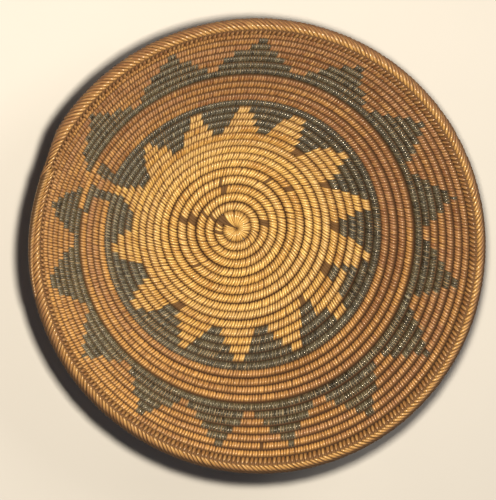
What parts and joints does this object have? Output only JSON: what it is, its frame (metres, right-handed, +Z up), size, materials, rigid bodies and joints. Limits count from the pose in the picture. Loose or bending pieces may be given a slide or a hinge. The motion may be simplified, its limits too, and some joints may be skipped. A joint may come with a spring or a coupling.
{
  "type": "coiled basket",
  "caption": "Shallow coiled bowl of stitched splints over a spiral foundation, with a stepped star, a coloured band, outward peaks, a pathway through them and a braided rim.",
  "frame": {"origin": "centre of the flat base, on the plane that the basket stands on", "axes": "+Z up, out of the bowl's mouth; seen from above with +X to the right, the pathway lies towards -X and a little +Y"},
  "size_m": [0.3177, 0.3161, 0.0957],
  "materials": {
    "straw": "split splints, satin, natural golden straw",
    "dark": "split splints, dyed dark grey brown, matte",
    "rust": "split splints, dyed rust brown, satin",
    "braid": "split splints, golden brown, worn satin",
    "rods": "peeled shoots, matte"
  },
  "bodies": {
    "root": {"start_button": "straw", "course_02_centre": "straw", "course_03_centre": "straw", "course_04_centre": "straw", "course_05_centre": "straw", "course_06_centre": "straw", "course_07_centre": "straw", "course_08_centre": "straw", "course_09_centre": "straw", "course_10_centre": "straw", "course_11_centre": "straw", "course_12_star": "straw", "course_13_star": "straw", "course_14_notch": "dark", "course_15_notch": "dark", "course_16_inner_ring": "dark", "course_17_band": "rust", "course_18_band": "rust", "course_19_band": "rust", "course_20_band": "rust", "course_21_outer_ring": "dark", "course_22_peak_foot": "dark", "course_23_peak_foot": "dark", "course_24_peak_top": "rust", "course_25_peak_top": "rust", "course_26_peak_top": "rust", "course_27_border": "rust", "rim_braid": "braid", "coil_tail": "braid", "start_foundation": "rods", "foundation_coil": "rods", "rim_foundation": "rods"}
  },
  "joints": []
}
